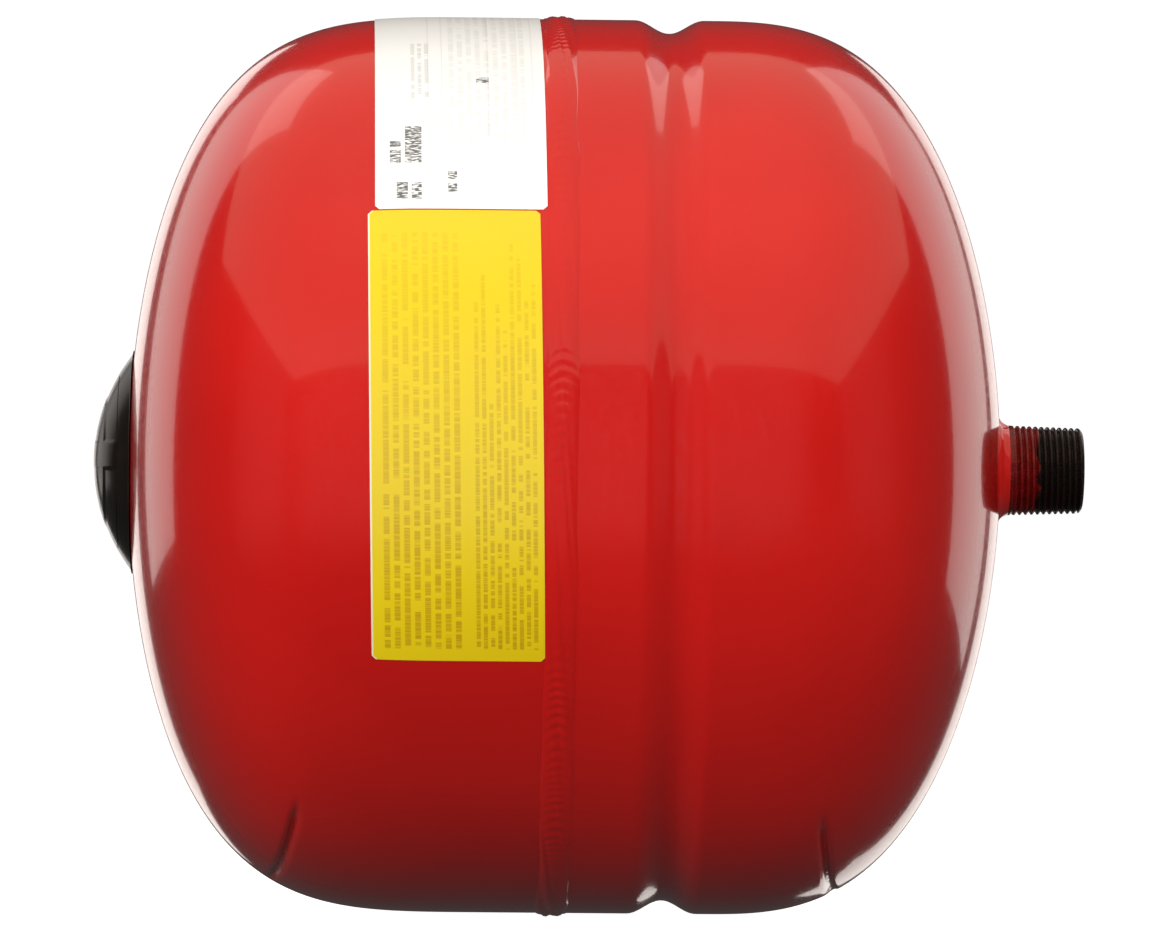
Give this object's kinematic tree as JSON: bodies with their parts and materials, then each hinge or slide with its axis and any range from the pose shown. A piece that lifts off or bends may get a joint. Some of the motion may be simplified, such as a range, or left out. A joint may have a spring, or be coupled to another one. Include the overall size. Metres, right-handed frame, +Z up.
{
  "type": "expansion vessel",
  "caption": "Horizontal drum-shaped heating expansion vessel with a threaded pipe nipple, an internal rubber diaphragm and a covered gas filling valve.",
  "frame": {"origin": "centre of the water nipple's end face, where the pipe joint holds the vessel", "axes": "+X along the vessel's axis and out of the nipple, +Z up with the axis lying level, +Y away from the instruction label"},
  "size_m": [0.299, 0.2726, 0.2726],
  "materials": {
    "red_paint": "glossy baked enamel",
    "black_thread": "oiled black thread",
    "bare_steel": "plain",
    "brass": "turned",
    "rubber": "matte",
    "black_plastic": "satin gloss",
    "white_label": "laminated film",
    "yellow_label": "laminated film"
  },
  "bodies": {
    "vessel": {"gas_side_shell": "red_paint", "water_side_shell": "red_paint", "girth_weld": "red_paint", "nipple_weld": "red_paint", "water_nipple": "black_thread", "clamp_ring": "bare_steel", "diaphragm_bead": "rubber", "diaphragm_wall": "rubber", "valve_boss": "bare_steel", "valve_boss_weld": "bare_steel", "valve_body": "brass", "valve_o_ring": "rubber", "valve_core_housing": "brass", "valve_core_gasket": "rubber", "valve_core_spring": "bare_steel", "rating_label": "white_label", "instruction_label": "yellow_label"},
    "cover": {"protective_cap": "black_plastic"},
    "dust_cap_lifter": {"dust_cap_seal": "rubber"},
    "dust_cap": {"dust_cap": "black_plastic"},
    "valve_pin": {"valve_core_pin": "brass", "valve_core_seal": "rubber"},
    "diaphragm": {"diaphragm_crown": "rubber"}
  },
  "joints": [
    {"name": "protective_cap_pull", "type": "slide", "parent": "vessel", "child": "cover", "axis": [-1, 0, 0], "range_m": [0, 0.04]},
    {"name": "dust_cap_lift", "type": "slide", "parent": "vessel", "child": "dust_cap_lifter", "axis": [-1, 0, 0], "range_m": [0, 0.00476]},
    {"name": "dust_cap_turn", "type": "hinge", "parent": "dust_cap_lifter", "child": "dust_cap", "pos_m": [-0.284, 0, 0], "axis": [-1, 0, 0], "range_deg": [0, 2160]},
    {"name": "valve_pin_press", "type": "slide", "parent": "vessel", "child": "valve_pin", "axis": [1, 0, 0], "range_m": [0, 0.0012], "stiffness_N_per_m": 2000, "springref_m": -0.0015, "deforming": ["valve_core_spring"]},
    {"name": "diaphragm_travel", "type": "slide", "parent": "vessel", "child": "diaphragm", "axis": [-1, 0, 0], "range_m": [0, 0.12], "stiffness_N_per_m": 200, "springref_m": -0.02, "deforming": ["diaphragm_wall"]}
  ],
  "couplings": [
    {"joint": "dust_cap_turn", "follows": "dust_cap_lift", "rad_per_m": 7915.8}
  ]
}
